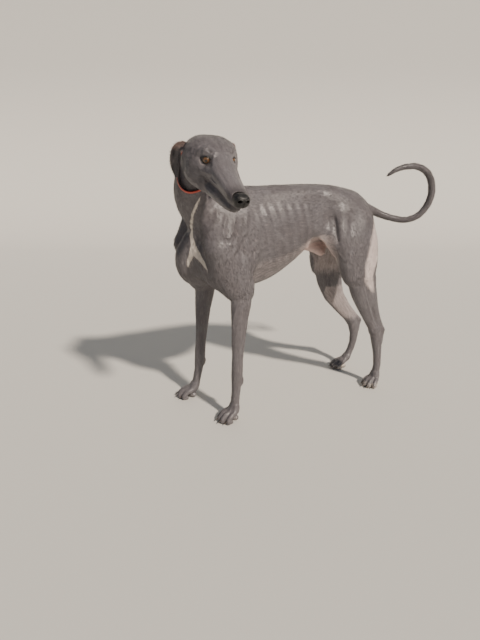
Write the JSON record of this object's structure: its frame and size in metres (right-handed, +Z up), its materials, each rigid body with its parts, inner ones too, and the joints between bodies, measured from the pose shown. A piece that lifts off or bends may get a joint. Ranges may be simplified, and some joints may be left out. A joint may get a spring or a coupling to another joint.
{
  "type": "greyhound",
  "caption": "Standing male greyhound at life size, head turned back past its left shoulder, tail curled up, with a narrow collar.",
  "frame": {"origin": "on the floor under the middle of the box that holds the whole dog", "axes": "+X to the dog's left, -Y the way its body faces, +Z up"},
  "size_m": [0.5506, 0.9494, 0.8725],
  "materials": {
    "coat": "short satin hair",
    "nose": "moist, fine grained",
    "eye": "wet gloss",
    "collar": "woven webbing",
    "ring": "polished"
  },
  "bodies": {
    "root": {"collar": "collar", "collar_ring": "ring", "ear_left": "coat", "ear_right": "coat", "eye_left": "eye", "eye_right": "eye", "head": "coat", "jaw": "coat", "leg_front_left": "coat", "leg_front_right": "coat", "leg_hind_left": "coat", "leg_hind_right": "coat", "neck": "coat", "nose": "nose", "paw_front_left": "coat", "paw_front_right": "coat", "paw_hind_left": "coat", "paw_hind_right": "coat", "tail_base": "coat", "tail_middle": "coat", "tail_tip": "coat", "torso": "coat"}
  },
  "joints": []
}
